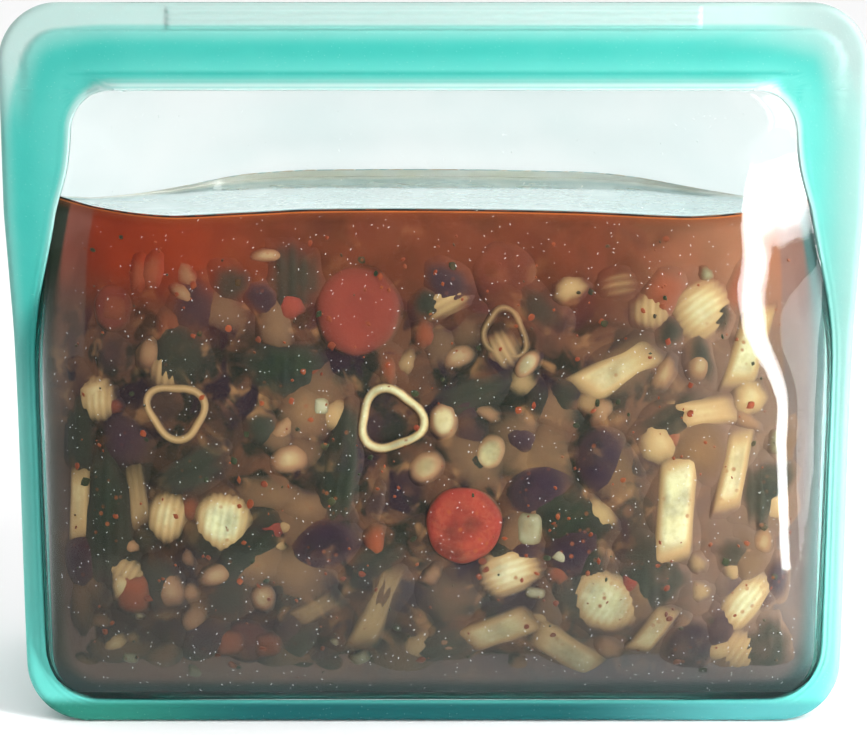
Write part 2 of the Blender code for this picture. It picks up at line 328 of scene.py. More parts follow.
class Look:
    """A material being built round its Principled shader."""

    def __init__(self, name, **sockets):
        self.material = bpy.data.materials.new(name)
        self.material.use_nodes = True
        self.tree = self.material.node_tree
        self.shader = self.tree.nodes["Principled BSDF"]
        self.set(self.shader, **sockets)
        self.place = self.add("ShaderNodeTexCoord").outputs["Object"]
        parts = self.add("ShaderNodeSeparateXYZ")
        self.set(parts, Vector=self.place)
        self.across, self.height = parts.outputs["X"], parts.outputs["Z"]

    def add(self, kind, **settings):
        node = self.tree.nodes.new(kind)
        for name, value in settings.items():
            setattr(node, name, value)
        return node

    def feed(self, socket, value):
        """Links another node's output to a socket, or sets a plain value on it."""
        if isinstance(value, bpy.types.NodeSocket):
            self.tree.links.new(value, socket)
        else:
            socket.default_value = value

    def set(self, node, **sockets):
        for name, value in sockets.items():
            self.feed(node.inputs[name.replace("_", " ")], value)

    def attribute(self, name):
        return self.add("ShaderNodeAttribute", attribute_name=name).outputs["Fac"]

    def noise(self, scale, detail, distortion=0.0):
        node = self.add("ShaderNodeTexNoise")
        self.set(node, Vector=self.place, Scale=scale, Detail=detail, Distortion=distortion)
        return node.outputs["Fac"]

    def spots(self, scale, size):
        """1 at the middle of scattered spots, 0 away from them."""
        node = self.add("ShaderNodeTexVoronoi")
        self.set(node, Vector=self.place, Scale=scale)
        return self.between(node.outputs["Distance"], size, size * 0.4)

    def between(self, value, low, high, to_low=0.0, to_high=1.0):
        """value's place between low and high, smoothly and kept within the two results."""
        node = self.add("ShaderNodeMapRange", interpolation_type="SMOOTHSTEP")
        for socket, number in zip(node.inputs[:5], (value, low, high, to_low, to_high)):
            self.feed(socket, number)
        return node.outputs["Result"]

    def calculate(self, operation, first, second):
        """The result of a sum, kept from 0 to 1."""
        node = self.add("ShaderNodeMath", operation=operation, use_clamp=True)
        for socket, value in zip(node.inputs, (first, second)):
            self.feed(socket, value)
        return node.outputs["Value"]

    def times(self, first, second):
        return self.calculate("MULTIPLY", first, second)

    def mix(self, share, first, second):
        node = self.add("ShaderNodeMix", data_type="RGBA")
        for index, value in zip(MIX_SOCKETS, (share, first, second)):
            self.feed(node.inputs[index], value)
        return node.outputs[MIX_RESULT]

    def over(self, colour, value, low, high, paint, most=1.0):
        """A colour under a paint, whose share grows from 0 where value is low to most where it is high."""
        return self.mix(self.between(value, low, high, 0.0, most), colour, paint)

    def bump(self, relief, distance, strength):
        node = self.add("ShaderNodeBump")
        self.set(node, Height=relief, Distance=distance, Strength=strength)
        self.set(self.shader, Normal=node.outputs["Normal"])


# The bag's materials


def frame_look():
    """Coloured translucent silicone, deepest a little way in and pale where it is thin: the paleness is
    partly its own colour and partly a painted glow of light through it. Painted shade darkens its left side
    and underside, and painted light pales its right flange.
    """
    look = Look("frame_silicone", Roughness=0.48, IOR=1.36, Specular_IOR_Level=0.35)
    look.set(look.shader, Subsurface_Weight=0.25, Subsurface_Scale=0.002, Subsurface_Radius=(0.5, 1.0, 0.95))
    x = look.across
    colour = look.mix(look.attribute("deep"), srgb(84, 176, 166), srgb(49, 159, 148))
    # Painted shade: darker towards the left side, away from the soft box
    colour = look.over(colour, x, -0.060, -0.100, srgb(44, 152, 142), 0.5)
    colour = look.over(colour, look.height, 0.100, 0.070, srgb(104, 204, 193), 0.8)
    colour = look.over(colour, look.noise(60, 4), 0.35, 0.7, srgb(104, 186, 176), 0.10)
    # Painted light: paler on the right flange, where the soft box shines through it
    colour = look.over(colour, x, 0.098, 0.110, srgb(136, 172, 165), 0.8)
    # Painted shade on the rim's underside, which faces the floor, lighter towards both ends
    underside = look.over(srgb(0, 80, 82), x, 0.03, 0.09, srgb(76, 156, 156))
    underside = look.over(underside, x, -0.04, -0.09, srgb(34, 120, 104))
    colour = look.mix(look.attribute("low"), colour, underside)
    # Painted glow: the thin edges paler, partly their own colour and partly light shining through them
    pale = look.over(srgb(159, 184, 179), x, 0.080, 0.105, srgb(142, 164, 160))
    colour = look.mix(look.attribute("pale"), colour, pale)
    # Paler along the window's edge higher up, where the frame thins: partly its own colour, partly painted
    # glow
    colour = look.mix(look.attribute("clear"), colour, srgb(176, 200, 196))
    specks = look.times(look.spots(900, 0.12), 0.25)
    look.set(look.shader, Base_Color=look.mix(specks, colour, srgb(196, 220, 216)))
    look.bump(look.noise(1500, 2), 0.0002, 0.12)
    return look.material


def gusset_look():
    """The folded floor and sides: the frame's silicone, thinner, with painted shade darkening it towards the
    floor.
    """
    look = Look("gusset_silicone", Roughness=0.45, IOR=1.41, Subsurface_Weight=0.2, Subsurface_Scale=0.002)
    colour = look.over(srgb(60, 152, 143), look.noise(45, 3), 0.3, 0.7, srgb(72, 164, 154))
    # Painted shade: darker towards the floor
    look.set(look.shader, Base_Color=look.over(srgb(44, 138, 130), look.height, 0.0, 0.1, colour))
    look.bump(look.noise(1200, 2), 0.0002, 0.15)
    return look.material


def window_look():
    """Clear silicone with a faint cast, a polished face and a slightly uneven gloss."""
    look = Look("clear_silicone", Transmission_Weight=1.0, IOR=1.25, Roughness=0.05)
    tint = look.over(srgb(242, 250, 249), look.noise(25, 2), 0.3, 0.7, srgb(250, 254, 253))
    look.set(look.shader, Base_Color=tint)
    look.bump(look.noise(70, 2), 0.0012, 0.10)
    return look.material


# The frame


def cut_line(height):
    """How far from the middle the moving mouth ends, at heights over the hinge."""
    return CUT_START + (CUT_HALF_WIDTH - CUT_START) * smooth((height - HINGE_HEIGHT) / 0.006)


def ridge(value, middle, half):
    """A rounded ridge of height 1 and a given half width."""
    return np.maximum(1 - ((value - middle) / half) ** 2, 0)


def topness(z):
    """How much a place on the frame belongs to the mouth and its lip, from 0 to 1."""
    return smooth((z - 0.148) / 0.026)


def raised(value, relief):
    """The height of a ridge given by its place, half width and height."""
    middle, half, height = relief
    return height * ridge(value, middle, half)


def grip_relief(x, z):
    """How far the grip patch and its three ridges stand out. They fade away at both ends."""
    low, high = GRIP_PATCH
    patch = smooth((z - low) / 0.0003) * (1 - smooth((z - high) / 0.0004))
    ridges = sum(ridge(z, height, GRIP_RIDGE) for height in GRIP_HEIGHTS)
    beyond = smooth((np.abs(x) - GRIP_HALF_WIDTH + GRIP_FADE) / GRIP_FADE)
    return GRIP_RELIEF * (patch + ridges) * (1 - beyond)


def frame_offsets(side, x, z, grips):
    """How far the frame's outer and inner faces lie out from its seam side."""
    outline, window, top = from_outline(x, z), from_window(x, z), topness(z)
    outer = FRAME_THICKNESS - LIP_STEP * top * (1 - smooth((outline - LIP_EDGE) / 0.0006))
    outer -= top * raised(outline, GROOVE)
    outer += sum(raised(window, relief) for relief in WINDOW_RIDGES)
    rounding = (1 - (1 - np.clip(outline / ROUNDED_WIDTH, 0, 1)) ** 2.6) ** 0.5
    outer *= np.minimum(THINNEST + (1 - THINNEST) * rounding, 1)
    outer -= BEVEL_DEPTH * np.clip(1 - window / BEVEL_WIDTH, 0, 1) ** 3
    across = np.clip(x / window_half(HINGE_HEIGHT - TUCK), -1, 1)
    wall = side * (wall_point(side, across, HINGE_HEIGHT - TUCK)[..., DEEP] - SEAM_Y)
    over = np.maximum(wall + GAP - FRAME_THICKNESS, 0)
    above = z - HINGE_HEIGHT
    outer += over * (1 - smooth(above / 0.0042)) * smooth((above + 0.004) / 0.003)
    inner = LIP_STEP * smooth((z - LIP_HEIGHT) / 0.0006) * (1 - smooth((np.abs(x) - 0.078) / 0.012))
    if grips:
        outer += grip_relief(x, z)
    return outer, inner


def frame_shades(x, z):
    """The shares of the frame's colours at places on it, by the attribute that its material reads."""
    outline, window, top = from_outline(x, z), from_window(x, z), topness(z)
    mouth_width = HEIGHT - HINGE_HEIGHT
    share = mouth_width * outline / np.maximum(outline + np.maximum(window, 0), 1e-6)
    place = outline + (share - outline) * top
    right = smooth((x - 0.060) / 0.050)
    # The pale share is the thin edges' own paler colour with a painted glow of light through them, a painted
    # haze of light across the mouth and painted light on its right
    pale = 1 - smooth((place - 0.0054 * top + 0.0006) / (0.0052 - 0.0034 * top))
    haze = 0.42 * top * (1 - smooth((place - 0.0050) / 0.0060))
    pale = np.maximum(pale * (0.35 + 0.65 * top) * smooth((z - 0.02) / 0.03), haze)
    pale = np.maximum(pale, 0.75 * right * top * (1 - smooth((place - 0.006) / 0.008)))
    deep = np.exp(-(((place - 0.0060 - 0.0058 * top) / (0.0045 + 0.0002 * top)) ** 2))
    # Painted shade: deeper colour in the lip's groove, and part-way deeper inward of it
    groove = ridge(outline, GROOVE_DEPTH, 0.0006) + 0.4 * smooth((outline - GROOVE_DEPTH + 0.0001) / 0.0003)
    deep = np.maximum(deep, top * groove)
    # Paler near the window higher up, where the frame thins: partly its own colour, partly painted glow; less
    # so on the ridges
    clear = (1 - smooth((window - 0.0012 * top) / (0.0020 + 0.0006 * top))) * smooth((z - 0.100) / 0.05)
    clear *= 1 - 0.6 * top * (ridge(window, 0.0009, 0.00035) + ridge(window, 0.0021, 0.00035))
    # Painted shade on the rim's underside, close to the floor
    low = 1 - smooth((z - 0.0042) / 0.0028)
    return {"pale": pale, "deep": deep, "clear": clear, "low": low}


def frame_piece(name, side, x, z, material, grips=False):
    """A piece of the frame over a grid of places in the plane of the seam."""
    outer, inner = frame_offsets(side, x, z, grips)
    base = rim_y(z, side) - side * FRAME_THICKNESS / 2
    faces = [np.stack([x, base + side * offset, z], -1) for offset in (outer, inner)]
    piece = thick_sheet(name, *faces)
    piece.data.materials.append(material)
    for key, values in frame_shades(x, z).items():
        set_attribute(piece, key, both_faces(values))
    return piece


def frame_ring(samples=26):
    """Places over the fixed frame: up one side from the floor's middle, as (x, z) grids of its right half."""
    across = eased(samples, 0.9)
    centre = half_width(CORNER_RADIUS) - CORNER_RADIUS
    spokes = []
    lower, upper = WINDOW_CORNERS
    inner_hub = np.array([window_side(RIM_WIDTH + lower) - lower, RIM_WIDTH + lower])
    outer_hub = np.array([centre, CORNER_RADIUS])
    for share in np.linspace(0, 1, 40, endpoint=False):
        spokes.append(((inner_hub[0] * share, RIM_WIDTH), (centre * share, 0.0)))
    for angle in np.linspace(0, math.pi / 2, 18):
        direction = np.array([math.sin(angle), -math.cos(angle)])
        spokes.append((inner_hub + direction * lower, outer_hub + direction * CORNER_RADIUS))
    fillet = HINGE_HEIGHT - upper
    inner_heights = list(np.linspace(inner_hub[1], fillet, 74)[1:])
    outer_heights = list(np.linspace(CORNER_RADIUS, fillet, 74)[1:])
    for heights in (inner_heights, outer_heights):
        heights += [fillet + upper * math.sin(a) for a in np.linspace(0, math.pi / 2, 16)[1:]]
    for inside, outside in zip(inner_heights, outer_heights):
        inset = corner_inset(HINGE_HEIGHT - inside, upper)
        spokes.append(((window_side(inside) - inset, inside), (half_width(outside), outside)))
    for height in HINGE_HEIGHT + (HEIGHT - HINGE_HEIGHT) * (1 - (1 - np.linspace(0, 1, 46)[1:]) ** 1.6):
        edge = half_width(height) - corner_inset(HEIGHT - height, CORNER_RADIUS)
        spokes.append(((cut_line(height), height), (edge, height)))
    inner, outer = (np.array([spoke[i] for spoke in spokes])[:, None] for i in (0, 1))
    places = inner + (outer - inner) * across[None, :, None]
    return places[..., 0], places[..., 1]


def add_frame(where, side, material):
    """The rim, side flanges and upper corners of one half of the frame, in one moulding."""
    x, z = frame_ring()
    x, z = np.concatenate([-x[:0:-1], x]), np.concatenate([z[:0:-1], z])
    piece = frame_piece(f"{where}_frame", side, x, z, material)
    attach(piece, "bag_body")
    return piece


def add_mouth(where, side, material):
    """One side of the mouth in three pieces: a middle that swings, and two ends beside it."""
    up = 1 - (1 - np.linspace(0, 1, 90)) ** 1.25
    z = (HINGE_HEIGHT + (HEIGHT - HINGE_HEIGHT) * up)[:, None]
    across = GRIP_HALF_WIDTH * np.sin(np.linspace(-1, 1, 90) * math.pi / 2)
    x, heights = np.broadcast_arrays(across[None, :], z)
    middle = frame_piece(f"{where}_lip_middle", side, x, heights, material, grips=True)
    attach(middle, f"{where}_mouth")
    nodes = ("shoulder", "seal_strip", "pull_lip", "grip_pad")
    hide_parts(*[f"{where}_{node}" for node in nodes])
    for name, sign in (("left", -1), ("right", 1)):
        share = np.linspace(0, 1, 26)[None, :]
        x = sign * (GRIP_HALF_WIDTH + (cut_line(z) - GRIP_HALF_WIDTH) * share)
        end = frame_piece(f"{where}_lip_{name}", side, x, np.broadcast_to(z, x.shape), material)
        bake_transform(end)


def add_window(where, side, material):
    """A clear wall that swells out of the frame."""
    across = np.sin(np.linspace(-1, 1, 121) * math.pi / 2)[None, :]
    low, high = RIM_WIDTH - TUCK, HINGE_HEIGHT + TUCK * 0.8
    height = (low + (high - low) * eased(110, 0.85))[:, None]
    across, height = np.broadcast_arrays(across, height)
    outer = wall_point(side, across, height)
    inner = inside_wall(side, across, height, np.full(across.shape, WALL))
    inner[..., UP] = np.clip(inner[..., UP], low, high)
    piece = thick_sheet(f"{where}_clear_wall", outer, inner)
    piece.data.materials.append(material)
    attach(piece, "bag_body")
    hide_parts(f"{where}_window")


def add_gusset(material):
    """The floor and both tapering sides between the rims, folded a little inwards, in one sheet."""
    centre = half_width(CORNER_RADIUS) - CORNER_RADIUS
    path = [(x, 0.0002, RIM_WIDTH / 2) for x in np.linspace(0, centre, 26, endpoint=False)]
    middle = CORNER_RADIUS - RIM_WIDTH / 2
    for angle in np.linspace(0, math.pi / 2, 12):
        x, z = math.sin(angle), math.cos(angle)
        path.append((centre + x * CORNER_RADIUS, CORNER_RADIUS * (1 - z), CORNER_RADIUS - middle * z))
    for height in np.linspace(CORNER_RADIUS, WEB_TOP, 40)[1:]:
        path.append((half_width(height), height, height))
    path = np.array([(-x, z, rim) for x, z, rim in path[:0:-1]] + path)
    x, z, rim = (path[:, i : i + 1] for i in range(3))
    back = eased(30, 0.5)[None, :]
    clear = FRAME_THICKNESS / 2 - 0.0004
    front, rear = rim_y(rim, -1) + clear, rim_y(rim, 1) - clear
    bulge = 4 * back * (1 - back)
    standing = smooth(z / CORNER_RADIUS)
    recess = standing * (0.0009 + 0.0016 * bulge + 0.0008 * ridge(back, 0.5, 0.12) * smooth(z / 0.05))
    sheets = []
    for inset in (0.0, GUSSET):
        inwards = x - np.sign(x) * (recess + inset * standing)
        upwards = np.broadcast_to(z + inset * (1 - standing) + 0.0006 * bulge * (1 - standing), inwards.shape)
        sheets.append(np.stack([inwards, front + (rear - front) * back, upwards], -1))
    piece = thick_sheet("folded_gusset", *sheets)
    piece.data.materials.append(material)
    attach(piece, "bag_body")
    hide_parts("base_panel", "left_side_web", "right_side_web")


# Soup

# The height of the soup's edge along the front wall, as (x, height)
CONTACT = (
    (-0.099, 0.1345), (-0.088, 0.1326), (-0.070, 0.1316), (-0.045, 0.1326), (-0.032, 0.1332),
    (0.0, 0.1333), (0.036, 0.1327), (0.066, 0.1315), (0.085, 0.1320), (0.099, 0.1338),
)
# How far the fatty edge has climbed the rear wall
RESIDUE = ((-0.090, 0.0), (-0.066, 0.0010), (-0.048, 0.0022), (0.044, 0.0022), (0.066, 0.0012), (0.088, 0.0))
# How deep a piece of food curves in, how much deeper than that its colour fades, and the share of the
# result that its mesh keeps, so that it is lost in the liquid like things seen through haze
CUSHION = 0.0026
DEEPENED = 1.7
FLATTENED = 0.5
# Depths behind the wall: where the soup starts, its liquid where it hides the rest of the food, and the
# paler broth round the pasta, painted as a glow of light scattered from it
CLEARANCE = WALL + 0.0003
MURK_DEPTH = 0.0017
GLOW_DEPTH = 0.0010
# The food keeps this far from the walls' side edges
SIDE_MARGIN = 0.0025
# The fat's thickness on the rear wall, and the rows of its mesh across the soup and up that wall
COAT = 0.0006
FILM_ROWS = 24
RESIDUE_ROWS = 6


def soup_line(x):
    """The height of the soup's edge against the wall."""
    return through(CONTACT, x)


def murk_colour(look):
    """The colour of the soup's liquid, by place, with painted light lightening it towards the right, painted
    shade low on the left and a painted reflection at its right edge.
    """
    x, z = look.across, look.height
    colour = look.over(srgb(100, 64, 44), look.noise(80, 3, 0.6), 0.36, 0.64, srgb(68, 48, 38))
    colour = look.over(colour, look.noise(115, 2, 0.8), 0.46, 0.60, srgb(30, 34, 26))
    colour = look.over(colour, look.noise(140, 2, 0.5), 0.55, 0.76, srgb(150, 108, 70))
    colour = look.over(colour, look.noise(100, 2, 0.7), 0.52, 0.66, srgb(36, 22, 34))
    # Painted light: lighter towards the right, where the soft box is
    colour = look.over(colour, x, 0.035, 0.085, srgb(140, 108, 90), 0.8)
    red = look.over(srgb(92, 36, 10), look.noise(80, 4, 0.4), 0.36, 0.64, srgb(120, 52, 26))
    # Painted light: the upper band lighter towards the right as well
    red = look.over(red, x, 0.040, 0.090, srgb(166, 104, 72), 0.8)
    colour = look.over(colour, z, 0.092, 0.122, red, 0.85)
    # Painted shade: darker low on the left
    left = look.between(x, -0.030, -0.085)
    low = look.times(left, look.between(z, 0.100, 0.060, 0.0, 0.75))
    colour = look.mix(low, colour, srgb(34, 26, 16))
    top = look.times(left, look.between(z, 0.104, 0.120, 0.0, 0.9))
    colour = look.mix(top, colour, srgb(150, 42, 0))
    # Painted reflection of the side panel: grey at the right edge
    colour = look.over(colour, x, 0.094, 0.106, srgb(150, 146, 148), 0.6)
    return look.over(colour, look.noise(1400, 2), 0.3, 0.7, srgb(160, 120, 90), 0.05)


def veiled(look, colour):
    """A colour as it shows low in the bag, with painted shade low in the middle, a painted reflection of the
    floor over the lowest part and painted shade along the bottom.
    """
    z = look.height
    # Painted shade low in the middle
    middle = look.between(look.across, 0.090, 0.050, 0.0, 0.5)
    colour = look.mix(look.times(middle, look.between(z, 0.050, 0.030)), colour, srgb(44, 40, 30))
    # Painted reflection of the floor in the lower wall
    floor_reflection = look.over(srgb(46, 58, 52), look.noise(120, 3), 0.3, 0.7, srgb(62, 56, 48))
    colour = look.over(colour, z, 0.030, 0.012, floor_reflection, 0.6)
    # Painted shade along the bottom, where little light reaches
    return look.over(colour, z, 0.0130, 0.0090, srgb(0, 26, 26))


def murk_look():
    """Thick brown liquid behind the wall, with a dark line at its edge, a band of painted reflection near the
    frame and painted shade in the margin by the frame.
    """
    look = Look("soup_liquid", Roughness=0.6, IOR=1.2)
    x, z, margin, below = look.across, look.height, look.attribute("margin"), look.attribute("below")
    colour = veiled(look, murk_colour(look))
    margin_width = look.between(z, 0.125, 0.095, 0.0040, 0.0080)
    inside = look.calculate("SUBTRACT", margin, margin_width)
    # Painted reflection on the wall's steep edge: a mauve-grey band just inside the dark margin, bluer on the
    # right
    strip = look.over(srgb(120, 98, 88), x, -0.05, 0.08, srgb(92, 92, 98))
    colour = look.over(colour, inside, 0.0066, 0.0054, strip, 0.4)
    # Painted shade in the margin by the frame, where little light reaches the soup; lighter on the right and
    # darkest low down
    dark = look.over(srgb(38, 46, 30), x, -0.05, 0.08, srgb(70, 104, 102))
    dark = look.over(dark, z, 0.020, 0.010, srgb(14, 44, 44))
    colour = look.over(colour, margin, margin_width, 0.0030, dark)
    colour = look.over(colour, below, 0.0030, 0.0008, srgb(140, 66, 30), 0.45)
    colour = look.over(colour, below, 0.0010, 0.0007, srgb(196, 104, 44), 0.8)
    colour = look.over(colour, below, 0.0006, 0.0004, srgb(40, 16, 10))
    look.set(look.shader, Base_Color=colour)
    look.bump(look.noise(200, 2), 0.0004, 0.1)
    return look.material


def film_look():
    """The soup's upper surface: shiny with fat, with a painted pale reflection of the sky near the front,
    beige further back and browner at its far side.
    """
    look = Look("soup_surface", Roughness=0.16, IOR=1.45, Coat_Weight=1.0, Coat_Roughness=0.05)
    far = look.attribute("far")
    # Painted reflection: the near part of the surface pale blue-grey, as it mirrors the sky
    colour = look.over(srgb(160, 192, 192), look.noise(60, 4, 0.8), 0.35, 0.7, srgb(190, 212, 212))
    beige = look.over(srgb(250, 246, 232), look.noise(110, 4), 0.4, 0.6, srgb(254, 252, 244))
    colour = look.over(colour, far, 0.66, 0.76, beige)
    look.set(look.shader, Base_Color=look.over(colour, far, 0.95, 1.0, srgb(196, 162, 110)))
    look.bump(look.noise(140, 3), 0.001, 0.25)
    return look.material


def soup_front(side, across, height):
    """A face of the soup, which lies close to the wall at its borders and deeper away from them."""
    x = across * window_half(height)
    depth = MURK_DEPTH + 0.0006 * np.sin(x * 310) * np.sin(height * 270 + 1)
    margin = -from_window(x, height)
    close = smooth((soup_line(x) - height) / 0.004) * smooth((margin - 0.002) / 0.004)
    close = close * smooth((height - 0.012) / 0.006)
    return inside_wall(side, across, height, CLEARANCE + 0.0001 + depth * close)


def bridge(start, end, steps):
    """Rows of points that run straight from one row to another."""
    return start[None] + (end - start)[None] * np.linspace(0, 1, steps)[:, None, None]


def soup_walls(x, across, shares):
    """The soup's front and rear faces, as grids with the same x, and each place's distance from the top."""
    low = RIM_WIDTH + 0.0012
    faces = []
    for side in (-1, 1):
        top = soup_line(x) + (through(RESIDUE, x) if side > 0 else 0)
        height = low + (top - low) * shares
        faces.append(soup_front(side, *np.broadcast_arrays(across, height)))
    front, rear = faces
    rear[..., RIGHT] = front[..., RIGHT]
    return front, rear, (1 - shares) * (soup_line(x) - low)


def soup_film(front, across):
    """The soup's upper surface from the front wall to the rear one, then up the residue on the rear wall."""
    x = across * window_half(SOUP_LEVEL)
    shore = soup_front(1, across, soup_line(x))
    shore[:, RIGHT] = front[-1, :, RIGHT]
    shore[:, DEEP] -= COAT
    surface = bridge(front[-1], shore, FILM_ROWS - RESIDUE_ROWS)
    flat = np.linspace(0, 1, FILM_ROWS - RESIDUE_ROWS)[:, None]
    surface[..., UP] -= 0.0004 * (1 - np.abs(2 * flat - 1) ** 8)
    climb = np.linspace(0, 1, RESIDUE_ROWS + 1)[1:, None]
    heights = soup_line(x) + through(RESIDUE, x) * climb
    coated = soup_front(1, np.broadcast_to(across, heights.shape), heights)
    coated[..., RIGHT] = front[-1, :, RIGHT]
    coated[..., DEEP] -= COAT * (1 - climb)
    return np.concatenate([surface, coated])


def weld(piece):
    """Joins the sheets of a piece along their shared edges."""
    mesh = bmesh.new()
    mesh.from_mesh(piece.data)
    bmesh.ops.remove_doubles(mesh, verts=mesh.verts[:], dist=1e-6)
    bmesh.ops.recalc_face_normals(mesh, faces=mesh.faces[:])
    mesh.to_mesh(piece.data)
    mesh.free()


def add_soup(materials):
    """The body of liquid, closed, with the film on top as its second material."""
    columns, rows = 141, 120
    across = np.sin(np.linspace(-1, 1, columns) * math.pi / 2) * 0.992
    x = across[None, :] * window_half(SOUP_LEVEL)
    front, rear, below = soup_walls(x, across[None, :], eased(rows, 0.8)[:, None])
    film = soup_film(front, across)
    sheets = [front, rear, film, bridge(front[0], rear[0], FILM_ROWS)]
    sheets += [bridge(front[:, end], rear[:, end], FILM_ROWS) for end in (0, -1)]
    faces, marks, far = [], [], []
    start = 0
    for sheet in sheets:
        faces += grid_faces(*sheet.shape[:2], start)
        marks += [int(sheet is film)] * (len(faces) - len(marks))
        far.append(np.zeros(sheet[..., 0].size))
        start += len(far[-1])
    far[2] = np.repeat(np.linspace(0, 1, FILM_ROWS), columns)
    points = np.concatenate([sheet.reshape(-1, 3) for sheet in sheets])
    piece = new_object("soup_liquid", points, faces)
    for material in materials:
        piece.data.materials.append(material)
    piece.data.polygons.foreach_set("material_index", marks)
    set_attribute(piece, "margin", -from_window(points[:, RIGHT], points[:, UP]))
    under = np.concatenate([both_faces(below), np.full(len(points) - 2 * below.size, HEIGHT)])
    set_attribute(piece, "below", under)
    set_attribute(piece, "far", np.concatenate(far))
    weld(piece)
    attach(piece, "bag_body")


# Food. Each shape is made in its own frame: x across, z up, and y into the soup from the wall.


def lathe_grid(rings, sides):
    """Faces of a closed skin over rings of points, with a point at each end."""
    last = 1 + rings * sides
    faces = [(0, 1 + (side + 1) % sides, 1 + side) for side in range(sides)]
    faces += grid_faces(rings, sides, 1, wrap=True)
    faces += [(last, last - sides + side, last - sides + (side + 1) % sides) for side in range(sides)]
    return faces


def blob(size, rings, sides, rough=0.0, seed=0.0, bend=0.0):
    """A closed rounded lump. size is its half extents."""
    latitude = np.linspace(-math.pi / 2, math.pi / 2, rings + 2)[1:-1, None]
    longitude = np.linspace(0, 2 * math.pi, sides, endpoint=False)[None, :]
    x, y = np.cos(latitude) * np.cos(longitude), np.cos(latitude) * np.sin(longitude)
    z = np.broadcast_to(np.sin(latitude), x.shape)
    points = np.concatenate([[(0, 0, -1)], np.stack([x, y, z], -1).reshape(-1, 3), [(0, 0, 1)]])
    points *= 1 + rough * np.sin(points[:, :1] * 3.1 + seed) * np.sin(points[:, 2:] * 3.7 + seed * 2)
    points *= size
    points[:, RIGHT] += bend * (points[:, UP] / size[UP]) ** 2
    points[:, DEEP] -= points[:, DEEP].min()
    return points, lathe_grid(rings, sides)


def cushion(
    wide,
    tall,
    power=2.1,
    fall=2.4,
    slant=0.0,
    rough=0.0,
    seed=0.0,
    bend=0.0,
    ribs=(0.0, 1.0),
    sides=36,
    rings=10,
):
    """A closed lump that lies flat against the wall in its middle and falls softly away to its outline.

    A higher power squares its outline and a higher fall flattens its middle. ribs is a height and a spacing.
    """
    angles = np.linspace(0, 2 * math.pi, sides, endpoint=False)
    ragged = 1 + rough * (np.sin(angles * 3 + seed) + 0.6 * np.sin(angles * 7 + seed * 2))
    x, z = (np.sign(at) * np.abs(at) ** (2 / power) * ragged for at in (np.cos(angles), np.sin(angles)))
    relief, spacing = ribs
    points = [[(0, 0, 0)]]
    for share in np.linspace(0, 1, rings + 1)[1:]:
        out, up = x * share * wide, z * share
        ridged = relief * (1 - np.cos(out * 2 * math.pi / spacing))
        deep = CUSHION * share**fall + ridged
        points.append(np.stack([out + bend * up**2, deep, up * tall + slant * out], -1))
    points.append([(0, CUSHION * 1.2, 0)])
    return np.concatenate(points), lathe_grid(rings, sides)


def slice_of(radius, thickness, sides=44):
    """A round slice of a root vegetable with a soft edge and an uneven outline."""
    angles = np.linspace(0, 2 * math.pi, sides, endpoint=False)
    outline = radius * (1 + 0.018 * np.sin(angles * 3 + 1) + 0.012 * np.sin(angles * 7))
    profile = [(0.4, 0.0), (0.7, 0.02), (0.84, 0.08), (0.92, 0.2), (0.97, 0.42), (1.0, 0.75), (0.98, 1.0)]
    points = [[(0, 0, 0)]]
    for share, depth in profile:
        x, z = (outline * share * at for at in (np.cos(angles), np.sin(angles)))
        points.append(np.stack([x, np.full(sides, depth * thickness), z], -1))
    points.append([(0, thickness, 0)])
    return np.concatenate(points), lathe_grid(len(profile), sides)


def hoop(width, height, thickness, corner=0.12, sides=40, around=12):
    """A pasta shell seen from its open side: a thick rounded rim."""
    points = []
    for angle in np.linspace(0, 2 * math.pi, sides, endpoint=False):
        radius = 1 + corner * math.cos(3 * angle + 0.5)
        centre = np.array([width * radius * math.cos(angle), 0, height * radius * math.sin(angle)])
        outward = centre / np.linalg.norm(centre)
        for turn in np.linspace(0, 2 * math.pi, around, endpoint=False):
            deep = np.array([0, 2.2 * thickness * (1 + math.sin(turn)), 0])
            points.append(centre + outward * math.cos(turn) * thickness + deep)
    faces = grid_faces(sides, around, 0, wrap=True)
    last = (sides - 1) * around
    faces += [(last + at, last + (at + 1) % around, (at + 1) % around, at) for at in range(around)]
    return np.array(points), faces


def turned(local, turn):
    """The x and z of a shape's points after a turn in the plane of the wall."""
    x, z = local[:, RIGHT], local[:, UP]
    return x * math.cos(turn) + z * math.sin(turn), z * math.cos(turn) - x * math.sin(turn)


class Pile:
    """Food of one kind, gathered into one piece."""

    def __init__(self, name, material):
        self.name, self.material = name, material
        self.points, self.faces, self.fades, self.tints = [], [], [], []

    def put(self, shape, side, x, z, turn=0.0, depth=0.0, tint=0.5, lean=0.0):
        """Lays a shape against the wall at a place in the seam's plane, bent to follow the wall."""
        local, faces = shape
        along, upward = turned(local, math.radians(turn))
        deep = depth + DEEPENED * local[:, DEEP] + lean * (local[:, UP] - local[:, UP].min())
        height = np.clip(z + upward, RIM_WIDTH + 0.003, SOUP_LEVEL - 0.0012)
        half = window_half(height)
        across = np.clip((x + along) / (half - SIDE_MARGIN), -1, 1) * (1 - SIDE_MARGIN / half)
        start = sum(len(part) for part in self.points)
        self.points.append(inside_wall(side, across, height, CLEARANCE + FLATTENED * deep))
        self.faces += [tuple(start + index for index in face) for face in faces]
        self.fades.append(deep)
        self.tints.append(np.full(len(local), tint))

    def build(self):
        piece = new_object(self.name, np.concatenate(self.points), self.faces, 70)
        piece.data.materials.append(self.material)
        set_attribute(piece, "depth", np.concatenate(self.fades))
        set_attribute(piece, "tint", np.concatenate(self.tints))
        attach(piece, "bag_body")
        return piece


